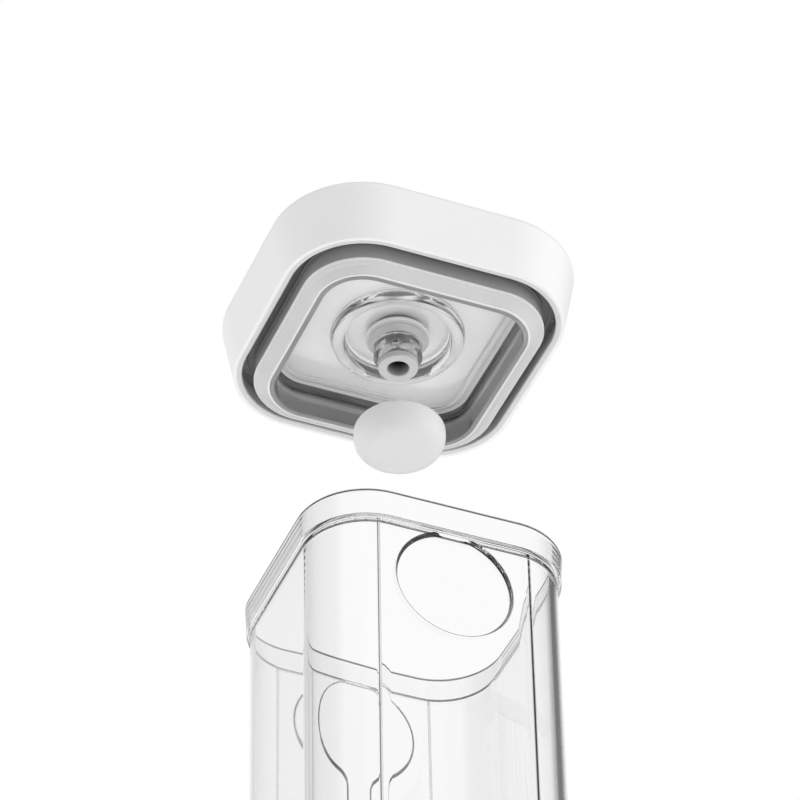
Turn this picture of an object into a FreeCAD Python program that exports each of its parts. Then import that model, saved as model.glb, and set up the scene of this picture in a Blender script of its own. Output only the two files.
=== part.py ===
"""Vacuum seal canister: a clear rounded-square container, its white vacuum lid and the nozzle cap.

Millimetres, +Z up, the base of the container on z = 0 and everything centred on the Z axis.
The lid stands lifted off the container and the cap hangs pulled off its nozzle.
"""
import FreeCAD
import Part

import math
import os

Vec = FreeCAD.Vector
UP = Vec(0, 0, 1)
ORIGIN = Vec(0, 0, 0)

# Plan shape: every square piece has its corner arcs about the same four centres
corner_run = 45.0            # straight run of a side between its two corner arcs
touching = 1e-6              # ends closer than this meet

# Container
container_height = 200.0     # base to rim
body_width = 90.0            # across the flats just under the collar
wall_draft = 1.0             # how far each wall leans in from the collar down to the base
body_wall = 3.0
floor_thickness = 3.2
base_edge_round = 5.0
floor_edge_round = 4.0
foot_width = 7.0             # width of the ring the container stands on
foot_height = 0.8
collar_height = 11.3         # rim to the ledge under the collar
collar_reach = 1.6           # how far the rim stands out over the body
collar_wall = 1.6
collar_step = 0.9            # how far the collar stands out over the body at the ledge
rim_round = 0.7

# Flat panels on the front and back walls, and the dishes pressed into them
panel_inset = 0.4
dish_radius = 20.3
dish_depth = 1.2
dish_tuck = 0.6              # how far the top of the dish is cut off by the ledge
stem_width = 10.0            # the strip that runs down from the back dish
stem_foot = 16.0             # lower end of the strip above the base
stem_blend = 7.0             # round between the dish and the strip

# Lid shell, heights measured up from the lower edge of its skirt
lid_lift = 107.0             # rim to the skirt's lower edge, lid lifted as it is shown
lid_height = 24.6
skirt_clearance = 3.4        # gasket's lip to the inside of the skirt
skirt_flare = 4.85           # how far the skirt leans out over its height
shell_wall = 1.6
shell_top = 2.0
top_edge_round = 3.0
lip_round = 0.5
stack_depth = 1.6            # recess in the top that a second container stands in
stack_clearance = 1.0
weld_rib = 1.8               # rib of the shell that is welded to the inner plate
dock_radius = 20.0           # well that takes the nose of the pump
dock_wall = 2.0

# Closed position
ledge_gap = 4.0              # skirt's lower edge to the ledge, lid closed
seal_clearance = 0.3         # gasket to the container's rim, lid closed

# Gasket
gasket_wall = 1.6
gasket_inner_wall = 1.0
gasket_bead = 0.5            # how far the two sealing beads stand out
gasket_hang = 0.8            # outer lower edge below the skirt's lower edge
gasket_slope_drop = 3.8      # fall of the lead-in from its outer to its inner edge
gasket_band = 6.0            # width of the lead-in
gasket_lip = 1.2             # thickness of the lip that the rim lands on
lip_overlap = 0.4            # how far the lip reaches out past the rim
bead_heights = (0.6, 5.6)    # beads, above the skirt's lower edge

# Inner plate
plate_thickness = 1.8
downstand_wall = 1.8
ceiling_height = 6.5         # underside of the plate above the skirt's lower edge
ceiling_round = 2.4
downstand_round = 0.45
gasket_rib = 0.9             # rib that holds the gasket from inside
rib_depth = 8.0
ridge_outer_radius = 23.7    # glassy ring round the nozzle
ridge_inner_radius = 18.7
ridge_depth = 2.5            # crest below the plate's underside
crest_flat = 0.1             # flat left between the two rounds of the crest
well_rise = 2.3              # floor inside the ring, above the plate's underside
well_round = 1.5

# White liner that lies on the back of the clear plate
liner_thickness = 2.0
liner_clearance = 0.2

# Valve grommet
grommet_bore = 5.9           # radius, tight on the nozzle's tube
grommet_waist = 6.7          # radius in the plate's hole
grommet_neck = 7.7
grommet_head = 9.1
grommet_head_height = 1.2
neck_height = 2.2
flange_radius = 11.4
flange_thickness = 1.3
grommet_edge_round = 0.3
cone_height = 3.1            # flange down to the barrel

# Nozzle
barrel_radius = 8.7
barrel_length = 7.8
shoulder_length = 2.3        # rounded lower end of the barrel
nozzle_bore = 3.85
tube_bore = 4.4
tube_stand = 1.2             # tube above the grommet's head
tip_radius = 7.1
tip_length = 2.7
tip_round = 0.5
spigot_radius = 5.1
spigot_length = 4.8
snap_width = 2.4             # window that the tip's snap shows in
snap_height = 1.8
snap_angle = -28.0           # degrees round from the front wall

# Valve seat and flap
seat_radius = 15.0
seat_foot_width = 3.0
seat_thickness = 1.2         # above the end of the nozzle's tube
seat_edge_round = 0.3
guide_radius = 1.3
vent_radius = 0.9
vent_circle = 3.2
vent_count = 6
flap_gap = 0.1               # flap to seat, closed
flap_radius = 10.0
flap_thickness = 2.0
flap_crown = 1.0
flap_edge_round = 0.5
knob_radius = 3.4
knob_height = 2.6
stem_clearance = 0.3
bulb_radius = 2.0
bulb_length = 2.2
flap_travel = 1.5
travel_spare = 0.2

# Nozzle cap
cap_radius = 16.1
cap_height = 12.0
cap_lower_round = 6.6
cap_upper_round = 3.0
cap_crown = 0.8              # bulge of its lower face
cap_fit = 0.3                # socket to nozzle, all round
cap_socket_depth = 9.0
cap_drop = 27.0              # top of the pulled-off cap below the nozzle's end
cap_vent_count = 4
cap_vent_width = 2.6
cap_vent_depth = 1.5

# Levels and half-widths that follow from the sizes above
corner = corner_run / 2
body_half = body_width / 2
base_half = body_half - wall_draft
collar_half = body_half + collar_reach
rim_half = collar_half - collar_wall
ledge_z = container_height - collar_height
skirt_z = container_height + lid_lift
skirt_half = collar_half + lip_overlap + skirt_clearance + shell_wall
flare = skirt_flare / lid_height

rim_level = collar_height - ledge_gap
lip_level = rim_level + seal_clearance
flange_level = lip_level + gasket_lip
flange_top = flange_level + plate_thickness
bead_half = rim_half - seal_clearance
gasket_half = bead_half - gasket_bead
downstand_half = gasket_half - gasket_band
recess_half = downstand_half - downstand_wall
gasket_foot = -gasket_hang - gasket_slope_drop

plate_top = ceiling_height + plate_thickness
well_floor = ceiling_height + well_rise
well_top = well_floor + plate_thickness
shell_ceiling = lid_height - stack_depth - shell_top

flange_under = well_floor - neck_height - flange_thickness
barrel_top = flange_under - cone_height
barrel_end = barrel_top - barrel_length
nozzle_end = barrel_end - tip_length
head_top = well_top + grommet_head_height
tube_top = head_top + tube_stand
seat_top = tube_top + seat_thickness
flap_under = seat_top + flap_gap


def outline(corners):
    """Closed wire in the XZ plane through (x, z) or (x, z, round) corners, rounds as tangent arcs."""
    points = [Vec(item[0], 0, item[1]) for item in corners]
    rounds = [item[2] if len(item) > 2 else 0.0 for item in corners]
    spans = []
    for index, point in enumerate(points):
        before = points[index - 1] - point
        after = points[(index + 1) % len(points)] - point
        if rounds[index] == 0.0:
            spans.append((point, None, point))
            continue
        half_angle = before.getAngle(after) / 2
        reach = rounds[index] / math.tan(half_angle)
        toward = (before.normalize() + after.normalize()).normalize()
        depth = rounds[index] / math.sin(half_angle) - rounds[index]
        spans.append((point + before * reach, point + toward * depth, point + after * reach))
    edges = []
    for index, (start, middle, end) in enumerate(spans):
        if middle is not None:
            edges.append(Part.Arc(start, middle, end).toShape())
        next_start = spans[(index + 1) % len(spans)][0]
        if end.distanceToPoint(next_start) > touching:
            edges.append(Part.makeLine(end, next_start))
    return Part.Wire(edges)


def turned(corners):
    """Solid of revolution about Z from an outline of (radius, z) corners."""
    return Part.Face(outline(corners)).revolve(ORIGIN, UP, 360)


def squared(corners):
    """Rounded-square solid from an outline of (half-width, z) corners, filled where it reaches the axis.

    The section runs straight along each side and turns about the corner centres.
    """
    reach = [max(item[0] - corner, 0.0) for item in corners]
    section = Part.Face(outline([(x,) + tuple(item[1:]) for x, item in zip(reach, corners)]))
    side = section.copy()
    side.translate(Vec(corner, -corner, 0))
    side = side.extrude(Vec(0, corner_run, 0))
    turn = section.revolve(ORIGIN, UP, 90)
    turn.translate(Vec(corner, corner, 0))
    pieces = []
    for quarter in range(4):
        for piece in (side, turn):
            placed = piece.copy()
            placed.rotate(ORIGIN, UP, 90 * quarter)
            pieces.append(placed)
    middle = [item[1] for item, x in zip(corners, reach) if x == 0.0]
    if middle:
        low, high = min(middle), max(middle)
        pieces.append(Part.makeBox(corner_run, corner_run, high - low, Vec(-corner, -corner, low)))
    return pieces[0].multiFuse(pieces[1:]).removeSplitter()


def panel_plane(z):
    """Distance of the flat panels from the middle at a height; they follow the wall's draft."""
    return base_half + (body_half - base_half) * z / ledge_z - panel_inset


def panel_cutter():
    """What is planed off the back wall to make its flat panel."""
    outside = collar_half + body_wall
    profile = Part.makePolygon([
        Vec(0, panel_plane(0), 0),
        Vec(0, outside, 0),
        Vec(0, outside, ledge_z),
        Vec(0, panel_plane(ledge_z), ledge_z),
        Vec(0, panel_plane(0), 0),
    ])
    slab = Part.Face(profile).extrude(Vec(body_width, 0, 0))
    slab.translate(Vec(-body_half, 0, 0))
    return slab


def dish_cutter(with_stem):
    """Round dish under the ledge of the back wall, with or without the strip that runs down from it."""
    centre_z = ledge_z - dish_radius + dish_tuck
    floor_y = panel_plane(centre_z) - dish_depth
    circle = Part.makeCircle(dish_radius, Vec(0, floor_y, centre_z), Vec(0, 1, 0))
    shape = Part.Face(Part.Wire(circle))
    if with_stem:
        shape = keyhole(floor_y, centre_z)
    cut = shape.extrude(Vec(0, collar_half + body_wall - floor_y, 0))
    above_ledge = Part.makeBox(body_width, 2 * collar_half, collar_height, Vec(-body_half, 0, ledge_z))
    return cut.cut(above_ledge)


def keyhole(floor_y, centre_z):
    """Face of the dish joined to its strip by two blends."""
    half = stem_width / 2
    blend_x = half + stem_blend
    blend_drop = math.sqrt((dish_radius + stem_blend) ** 2 - blend_x ** 2)
    blend_z = centre_z - blend_drop
    share = dish_radius / (dish_radius + stem_blend)
    meet = Vec(blend_x * share, floor_y, centre_z - blend_drop * share)
    to_meet = math.atan2(meet.z - blend_z, meet.x - blend_x)
    middle_angle = (to_meet + math.pi) / 2
    middle = Vec(blend_x + stem_blend * math.cos(middle_angle), floor_y,
                 blend_z + stem_blend * math.sin(middle_angle))
    stem_top = Vec(half, floor_y, blend_z)
    stem_end = Vec(half, floor_y, stem_foot + half)

    def mirrored(point):
        return Vec(-point.x, point.y, point.z)

    edges = [
        Part.Arc(mirrored(meet), Vec(0, floor_y, centre_z + dish_radius), meet).toShape(),
        Part.Arc(meet, middle, stem_top).toShape(),
        Part.makeLine(stem_top, stem_end),
        Part.Arc(stem_end, Vec(0, floor_y, stem_foot), mirrored(stem_end)).toShape(),
        Part.makeLine(mirrored(stem_end), mirrored(stem_top)),
        Part.Arc(mirrored(stem_top), mirrored(middle), mirrored(meet)).toShape(),
    ]
    return Part.Face(Part.Wire(edges))


def container_body():
    """Clear vessel: drafted walls, stepped collar, flat panels and dishes, foot ring under the base."""
    inner_top = body_half - body_wall
    shoulder_rise = rim_half - inner_top
    outside = squared([
        (0, 0),
        (base_half, 0, base_edge_round),
        (body_half, ledge_z),
        (body_half + collar_step, ledge_z + collar_step),
        (collar_half, container_height, rim_round),
        (rim_half, container_height, rim_round),
        (rim_half, ledge_z + shoulder_rise),
        (inner_top, ledge_z),
        (base_half - body_wall, floor_thickness, floor_edge_round),
        (0, floor_thickness),
    ])
    foot_half = base_half - base_edge_round - foot_width
    underside = squared([(0, 0), (foot_half, 0), (foot_half, foot_height), (0, foot_height)])
    body = outside.cut(underside)
    for with_stem, turn in ((True, 0), (False, 180)):
        for cutter in (panel_cutter(), dish_cutter(with_stem)):
            cutter.rotate(ORIGIN, UP, turn)
            body = body.cut(cutter)
    return body


def shell_inner_half(z):
    """Half-width inside the shell at a height above the skirt's lower edge."""
    return skirt_half - shell_wall + flare * z


def lid_shell():
    """White shell: flared skirt, top with the stacking recess, pump dock and the weld rib."""
    stack_half = base_half + stack_clearance
    stack_z = lid_height - stack_depth
    shell = squared([
        (0, shell_ceiling),
        (shell_inner_half(shell_ceiling), shell_ceiling, top_edge_round - shell_wall),
        (shell_inner_half(0), 0, lip_round),
        (skirt_half, 0, lip_round),
        (skirt_half + flare * lid_height, lid_height, top_edge_round),
        (stack_half, lid_height, lip_round),
        (stack_half, stack_z),
        (0, stack_z),
    ])
    rib = squared([
        (downstand_half - weld_rib, flange_top),
        (downstand_half, flange_top),
        (downstand_half, shell_ceiling),
        (downstand_half - weld_rib, shell_ceiling),
    ])
    dock = Part.makeCylinder(dock_radius + dock_wall, shell_ceiling - well_top, Vec(0, 0, well_top))
    well = Part.makeCylinder(dock_radius, lid_height - well_top, Vec(0, 0, well_top))
    return shell.multiFuse([rib, dock]).cut(well).removeSplitter()


def inner_plate():
    """Clear plate: flange, downstand round the lid's recess, ceiling and the ring round the nozzle."""
    channel_middle = (downstand_half + gasket_inner_wall + gasket_half - gasket_wall) / 2
    rib_foot = flange_level - rib_depth
    plate = squared([
        (0, ceiling_height),
        (recess_half, ceiling_height, ceiling_round),
        (recess_half, gasket_foot, downstand_round),
        (downstand_half, gasket_foot, downstand_round),
        (downstand_half, flange_level),
        (channel_middle - gasket_rib / 2, flange_level),
        (channel_middle - gasket_rib / 2, rib_foot),
        (channel_middle + gasket_rib / 2, rib_foot),
        (channel_middle + gasket_rib / 2, flange_level),
        (shell_inner_half(flange_level), flange_level),
        (shell_inner_half(flange_top), flange_top),
        (recess_half, flange_top),
        (recess_half, plate_top),
        (0, plate_top),
    ])
    crest_round = (ridge_outer_radius - ridge_inner_radius - crest_flat) / 2
    crest_z = ceiling_height - ridge_depth
    hub = turned([
        (grommet_waist, well_floor),
        (ridge_inner_radius, well_floor, well_round),
        (ridge_inner_radius, crest_z, crest_round),
        (ridge_outer_radius, crest_z, crest_round),
        (ridge_outer_radius, well_top),
        (grommet_waist, well_top),
    ])
    well = Part.makeCylinder(ridge_inner_radius, plate_thickness, Vec(0, 0, ceiling_height))
    return plate.cut(well).fuse(hub).removeSplitter()


def white_liner():
    """White plate in the recess on the back of the clear one, cut out round the ring's hub."""
    liner_half = recess_half - liner_clearance
    plate = squared([
        (0, plate_top),
        (liner_half, plate_top),
        (liner_half, plate_top + liner_thickness),
        (0, plate_top + liner_thickness),
    ])
    hole_radius = ridge_outer_radius + liner_clearance
    return plate.cut(Part.makeCylinder(hole_radius, liner_thickness, Vec(0, 0, plate_top)))


def gasket_bead_ring(level):
    """One half-round sealing bead on the gasket's outer wall."""
    return squared([
        (gasket_half - gasket_wall / 2, level - gasket_bead),
        (gasket_half, level - gasket_bead),
        (bead_half, level, gasket_bead / 2),
        (gasket_half, level + gasket_bead),
        (gasket_half - gasket_wall / 2, level + gasket_bead),
    ])


def lid_gasket():
    """Silicone ring: channel over the plate's rib, sloped lead-in, two beads and the lip for the rim."""
    fall = gasket_slope_drop / gasket_band
    slope_wall = gasket_wall * math.hypot(1.0, fall)
    channel_in = downstand_half + gasket_inner_wall
    channel_out = gasket_half - gasket_wall

    def lead_in(half):
        return -gasket_hang - fall * (gasket_half - half)

    ring = squared([
        (downstand_half, gasket_foot),
        (gasket_half, -gasket_hang, gasket_wall / 2),
        (gasket_half, lip_level),
        (collar_half + lip_overlap, lip_level),
        (collar_half + lip_overlap, flange_level),
        (channel_out, flange_level),
        (channel_out, lead_in(channel_out) + slope_wall),
        (channel_in, lead_in(channel_in) + slope_wall),
        (channel_in, flange_level),
        (downstand_half, flange_level),
    ])
    beads = [gasket_bead_ring(level) for level in bead_heights]
    return ring.multiFuse(beads).removeSplitter()


def valve_grommet():
    """Soft grommet: head on the plate, waist in its hole, neck, flange and cone under it."""
    return turned([
        (grommet_bore, barrel_top),
        (barrel_radius, barrel_top),
        (flange_radius, flange_under, grommet_edge_round),
        (flange_radius, flange_under + flange_thickness, grommet_edge_round),
        (grommet_neck, flange_under + flange_thickness),
        (grommet_neck, well_floor),
        (grommet_waist, well_floor),
        (grommet_waist, well_top),
        (grommet_head, well_top),
        (grommet_head, head_top, grommet_edge_round),
        (grommet_bore, head_top),
    ])


def nozzle_barrel():
    """Clear barrel with the tube that passes up through the grommet, and the tip's snap window."""
    barrel = turned([
        (spigot_radius, barrel_end),
        (tip_radius, barrel_end),
        (barrel_radius, barrel_end + shoulder_length, shoulder_length),
        (barrel_radius, barrel_top),
        (grommet_bore, barrel_top),
        (grommet_bore, tube_top),
        (tube_bore, tube_top),
        (tube_bore, barrel_end + spigot_length),
        (spigot_radius, barrel_end + spigot_length),
    ])
    window = Part.makeBox(snap_width, barrel_radius, snap_height,
                          Vec(-snap_width / 2, -tube_bore - barrel_radius, barrel_end + shoulder_length))
    window.rotate(ORIGIN, UP, snap_angle)
    return barrel.cut(window)


def nozzle_tip():
    """End piece of the nozzle with the suction hole, plugged into the barrel by its spigot."""
    return turned([
        (nozzle_bore, nozzle_end, tip_round),
        (tip_radius, nozzle_end, tip_round),
        (tip_radius, barrel_end),
        (spigot_radius, barrel_end),
        (spigot_radius, barrel_end + spigot_length),
        (nozzle_bore, barrel_end + spigot_length),
    ])


def valve_seat():
    """Vented disc pressed on the nozzle's tube, standing on the floor of the pump dock."""
    seat = turned([
        (0, tube_top),
        (grommet_bore, tube_top),
        (grommet_bore, head_top),
        (seat_radius - seat_foot_width, head_top),
        (seat_radius - seat_foot_width, well_top),
        (seat_radius, well_top),
        (seat_radius, seat_top, seat_edge_round),
        (0, seat_top),
    ])
    holes = [Part.makeCylinder(guide_radius, seat_thickness, Vec(0, 0, tube_top))]
    for index in range(vent_count):
        angle = 2 * math.pi * index / vent_count
        place = Vec(vent_circle * math.cos(angle), vent_circle * math.sin(angle), tube_top)
        holes.append(Part.makeCylinder(vent_radius, seat_thickness, place))
    return seat.cut(Part.makeCompound(holes))


def valve_flap():
    """Silicone flap: domed disc with a pull knob, and a stem whose bulb stops it under the seat."""
    stem_radius = guide_radius - stem_clearance
    bulb_top = tube_top - flap_travel - travel_spare
    crown_z = flap_under + flap_thickness
    knob_top = crown_z + flap_crown + knob_height
    return turned([
        (0, bulb_top - bulb_length),
        (stem_radius, bulb_top - bulb_length),
        (bulb_radius, bulb_top),
        (stem_radius, bulb_top),
        (stem_radius, flap_under),
        (flap_radius, flap_under),
        (flap_radius, crown_z, flap_edge_round),
        (knob_radius, crown_z + flap_crown),
        (knob_radius, knob_top, flap_crown),
        (0, knob_top),
    ])


def nozzle_cap():
    """Silicone puck with a crowned face below and a vented socket for the nozzle above."""
    top = nozzle_end - cap_drop
    foot = top - cap_height
    socket_radius = barrel_radius + cap_fit
    socket_floor = top - cap_socket_depth
    puck = turned([
        (0, foot),
        (cap_radius, foot + cap_crown, cap_lower_round),
        (cap_radius, top, cap_upper_round),
        (socket_radius, top, cap_fit),
        (socket_radius, socket_floor),
        (0, socket_floor),
    ])
    vents = []
    for index in range(cap_vent_count):
        reach = socket_radius + cap_vent_depth
        groove = Part.makeBox(reach, cap_vent_width, cap_socket_depth,
                              Vec(0, -cap_vent_width / 2, socket_floor))
        groove.rotate(ORIGIN, UP, 360.0 * index / cap_vent_count)
        vents.append(groove)
    return puck.cut(Part.makeCompound(vents)).removeSplitter()


def lifted(shape):
    """The same piece at the height of the lifted lid."""
    shape.translate(Vec(0, 0, skirt_z))
    return shape


def build():
    """Every piece by its node name, in place."""
    lid_pieces = (lid_shell, inner_plate, white_liner, lid_gasket, valve_grommet, nozzle_barrel,
                  nozzle_tip, valve_seat, valve_flap, nozzle_cap)
    pieces = {"container_body": container_body()}
    for make in lid_pieces:
        pieces[make.__name__] = lifted(make())
    return pieces


def main():
    """Write one STEP file for each piece."""
    os.makedirs("parts", exist_ok=True)
    for name, shape in build().items():
        solid = shape.Solids[0]
        print(name, len(shape.Solids), shape.isValid(), round(solid.Volume / 1000, 2), "cm3")
        solid.exportStep("parts/" + name + ".step")


main()
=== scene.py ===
"""Looks of the vacuum seal canister: clear container, white vacuum lid and silicone nozzle cap.

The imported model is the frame. Sizes here are millimetres in the same axes and are scaled to metres
where a mesh is made. Heights on the lid are above the lower edge of its skirt.
"""
import logging
import math
from collections.abc import Callable
from dataclasses import dataclass
from enum import Enum

import bmesh
import bpy
from mathutils import Matrix, Vector


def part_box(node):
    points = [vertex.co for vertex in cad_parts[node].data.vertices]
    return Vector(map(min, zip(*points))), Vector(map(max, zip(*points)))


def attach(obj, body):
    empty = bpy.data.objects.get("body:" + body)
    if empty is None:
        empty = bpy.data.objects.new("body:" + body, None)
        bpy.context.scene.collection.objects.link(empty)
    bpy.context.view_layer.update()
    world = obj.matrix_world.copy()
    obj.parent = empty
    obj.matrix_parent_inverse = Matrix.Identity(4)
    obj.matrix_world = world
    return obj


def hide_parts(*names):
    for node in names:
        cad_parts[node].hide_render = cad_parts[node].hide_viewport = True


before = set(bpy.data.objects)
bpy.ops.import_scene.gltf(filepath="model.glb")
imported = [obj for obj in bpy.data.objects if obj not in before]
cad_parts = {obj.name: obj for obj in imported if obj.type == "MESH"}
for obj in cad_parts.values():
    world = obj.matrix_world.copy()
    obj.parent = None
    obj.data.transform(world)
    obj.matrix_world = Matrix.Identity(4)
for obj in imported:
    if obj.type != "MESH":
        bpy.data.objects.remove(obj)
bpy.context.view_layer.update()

log = logging.getLogger("canister")
MM = 0.001
SMOOTH_LIMIT = math.radians(28)
GLOSS_SPREAD = 0.15
FINE_ROUND = 0.1
WHITE = (1.0, 1.0, 1.0, 1.0)
# settings of nodes that mix a colour towards white, and that multiply two colours
TO_WHITE = {"data_type": "RGBA", 7: WHITE}
TIMES = {"data_type": "RGBA", "blend_type": "MULTIPLY", 0: 1.0}
Corners = list[tuple[float, ...]]
Points = list[Vector]
Faces = list[tuple[int, ...]]


def linear(hex_colour: str) -> tuple[float, float, float, float]:
    """Turn an sRGB hex colour into linear light.

    Args:
        hex_colour: six hex digits, red first.

    Returns:
        Red, green and blue in linear light, and an alpha of 1.
    """
    channels = [int(hex_colour[i:i + 2], 16) / 255 for i in (0, 2, 4)]
    light = [c / 12.92 if c <= 0.04045 else ((c + 0.055) / 1.055) ** 2.4 for c in channels]
    return (light[0], light[1], light[2], 1.0)


def add_node(tree: bpy.types.NodeTree, kind: str, settings: dict | None = None,
             links: dict | None = None) -> bpy.types.Node:
    """Add a node with its settings and links.

    Args:
        tree: the node tree that takes it.
        kind: the node's type name.
        settings: values by attribute name, or by input name or number.
        links: output sockets by the input name or number that they feed.

    Returns:
        The new node.
    """
    node = tree.nodes.new(kind)
    for key, value in (settings or {}).items():
        if isinstance(key, str) and hasattr(node, key):
            setattr(node, key, value)
        else:
            node.inputs[key].default_value = value
    for key, socket in (links or {}).items():
        tree.links.new(socket, node.inputs[key])
    return node


def filleted(corners: Corners, closed: bool = True, steps: int = 6) -> list[tuple[float, float]]:
    """Round the corners of a section.

    Args:
        corners: (half-width, height) or (half-width, height, round) of each corner, in order.
        closed: whether the last corner joins the first.
        steps: straight steps in each round.

    Returns:
        The section's points.
    """
    points = []
    count = len(corners)
    for index, corner in enumerate(corners):
        here = Vector(corner[:2])
        radius = corner[2] if len(corner) > 2 else 0.0
        if radius == 0.0 or not (closed or 0 < index < count - 1):
            points.append((here.x, here.y))
            continue
        before = (Vector(corners[index - 1][:2]) - here).normalized()
        after = (Vector(corners[(index + 1) % count][:2]) - here).normalized()
        half_angle = before.angle(after) / 2
        start = here + before * radius / math.tan(half_angle)
        end = here + after * radius / math.tan(half_angle)
        centre = here + (before + after).normalized() * radius / math.sin(half_angle)
        first = math.atan2(start.y - centre.y, start.x - centre.x)
        last = math.atan2(end.y - centre.y, end.x - centre.x)
        turn = (last - first + math.pi) % (2 * math.pi) - math.pi
        for step in range(steps + 1):
            angle = first + turn * step / steps
            points.append((centre.x + radius * math.cos(angle), centre.y + radius * math.sin(angle)))
    return points


def off_line(start: Vector, end: Vector, distance: float, rise: float) -> tuple[float, float, float]:
    """Give a slightly rounded corner beside a line of a section.

    Args:
        start: where the line starts.
        end: where it ends, nearer to the axis.
        distance: how far along the line the corner is.
        rise: how far it stands off the line, downward.

    Returns:
        The corner.
    """
    along = (end - start).normalized()
    place = start + along * distance + Vector((-along.y, along.x)) * rise
    return (place.x, place.y, FINE_ROUND)


class Route(Enum):
    """How a section is carried round the axis."""
    SQUARE = "square"
    ROUND = "round"


@dataclass(frozen=True)
class Sweep:
    """Carries sections round the axis, about the corner centres that all square pieces share."""
    corner_centre: float = 22.5
    corner_steps: int = 20
    side_steps: int = 8

    def ring(self, half: float, z: float, route: Route) -> Points:
        """Make one ring of a swept mesh.

        Args:
            half: half-width or radius.
            z: height.
            route: square with round corners, or round.

        Returns:
            The ring's points, counter-clockwise from the middle of the right side.
        """
        quarter_steps = self.corner_steps + 2 * self.side_steps
        centre = self.corner_centre
        points = []
        for quarter in range(4):
            for step in range(quarter_steps):
                if route is Route.ROUND:
                    angle = math.pi / 2 * step / quarter_steps
                    x, y = half * math.cos(angle), half * math.sin(angle)
                elif step < self.side_steps:
                    x, y = half, centre * step / self.side_steps
                elif step <= self.side_steps + self.corner_steps:
                    angle = math.pi / 2 * (step - self.side_steps) / self.corner_steps
                    x = centre + (half - centre) * math.cos(angle)
                    y = centre + (half - centre) * math.sin(angle)
                else:
                    x, y = centre * (quarter_steps - step) / self.side_steps, half
                for _ in range(quarter):
                    x, y = -y, x
                points.append(Vector((x, y, z)))
        return points

    def half_of(self, place: Vector) -> float:
        """Half-width of the rounded square that a place lies on."""
        beyond = [max(abs(along) - self.corner_centre, 0.0) for along in place.xy]
        return self.corner_centre + math.hypot(*beyond)

    def closed_ring(self, rows: list[tuple[float, float, Route]]) -> tuple[Points, Faces]:
        """Sweep a closed section.

        Args:
            rows: half-width, height and route of each point of the section.

        Returns:
            The points and the faces.
        """
        points = [point for half, z, route in rows for point in self.ring(half, z, route)]
        around = len(points) // len(rows)
        faces = []
        for row in range(len(rows)):
            low, high = row * around, (row + 1) % len(rows) * around
            for step in range(around):
                after = (step + 1) % around
                faces.append((low + step, low + after, high + after, high + step))
        return points, faces


class Height(Enum):
    """What the height that a painted shade follows is measured in."""
    SHARE_OF_PIECE = "Generated"
    METRES = "Object"


@dataclass(frozen=True)
class PaintedShade:
    """Painted shade: a darker colour that a finish takes further up its piece, where the light goes aside or
    hardly comes.
    """
    colour: str
    start: float
    full: float
    height: Height = Height.SHARE_OF_PIECE

    def mix(self, tree: bpy.types.NodeTree, place: bpy.types.Node, pale: str) -> bpy.types.Node:
        """Mix a colour into the painted shade's darker colour with height.

        Args:
            tree: the material's nodes.
            place: the node that gives coordinates on the piece.
            pale: the colour lower down.

        Returns:
            The mixing node. Its input 6 holds the colour lower down, and its output 2 gives the mix.
        """
        parts = add_node(tree, "ShaderNodeSeparateXYZ", {}, {0: place.outputs[self.height.value]})
        rise = add_node(tree, "ShaderNodeMapRange", {"From Min": self.start, "From Max": self.full},
                        {"Value": parts.outputs["Z"]})
        return add_node(tree, "ShaderNodeMix", {"data_type": "RGBA", 6: linear(pale), 7: linear(self.colour)},
                        {0: rise.outputs[0]})


@dataclass(frozen=True)
class Finish:
    """What a surface is made of and how it was made."""
    name: str
    colour: str
    ior: float
    roughness: float

    def material(self) -> bpy.types.Material:
        """Give the finished material, made once.

        Returns:
            The material.
        """
        made = bpy.data.materials.get(self.name)
        if made is None:
            made = bpy.data.materials.new(self.name)
            made.use_nodes = True
            shader = made.node_tree.nodes["Principled BSDF"]
            shader.inputs["Base Color"].default_value = linear(self.colour)
            shader.inputs["IOR"].default_value = self.ior
            shader.inputs["Roughness"].default_value = self.roughness
            self.dress(made.node_tree, shader, add_node(made.node_tree, "ShaderNodeTexCoord"))
        return made

    def dress(self, tree: bpy.types.NodeTree, shader: bpy.types.Node, place: bpy.types.Node) -> None:
        """Add what this kind of finish shows beyond its plain values.

        Args:
            tree: the material's nodes.
            shader: the shader node.
            place: the node that gives coordinates on the piece.
        """
        raise NotImplementedError


@dataclass(frozen=True)
class ClearPlastic(Finish):
    """Transparent plastic from a polished mould: bright, with faint flow lines in its faces."""
    flow_mm: float
    flow_depth_mm: float
    clear: float = 1.0
    shade: PaintedShade | None = None

    def dress(self, tree: bpy.types.NodeTree, shader: bpy.types.Node, place: bpy.types.Node) -> None:
        """Make it clear and add the flow lines, and the painted shade where it has one.

        Args:
            tree: the material's nodes.
            shader: the shader node.
            place: the node that gives coordinates on the piece.
        """
        shader.inputs["Transmission Weight"].default_value = self.clear
        flow = add_node(tree, "ShaderNodeTexNoise", {"Scale": 1 / (self.flow_mm * MM), "Detail": 1.0},
                        {"Vector": place.outputs["Object"]})
        bump = add_node(tree, "ShaderNodeBump", {"Distance": self.flow_depth_mm * MM},
                        {"Height": flow.outputs[0]})
        tree.links.new(bump.outputs["Normal"], shader.inputs["Normal"])
        if self.shade:
            shaded = self.shade.mix(tree, place, self.colour)
            tree.links.new(shaded.outputs[2], shader.inputs["Base Color"])


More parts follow.
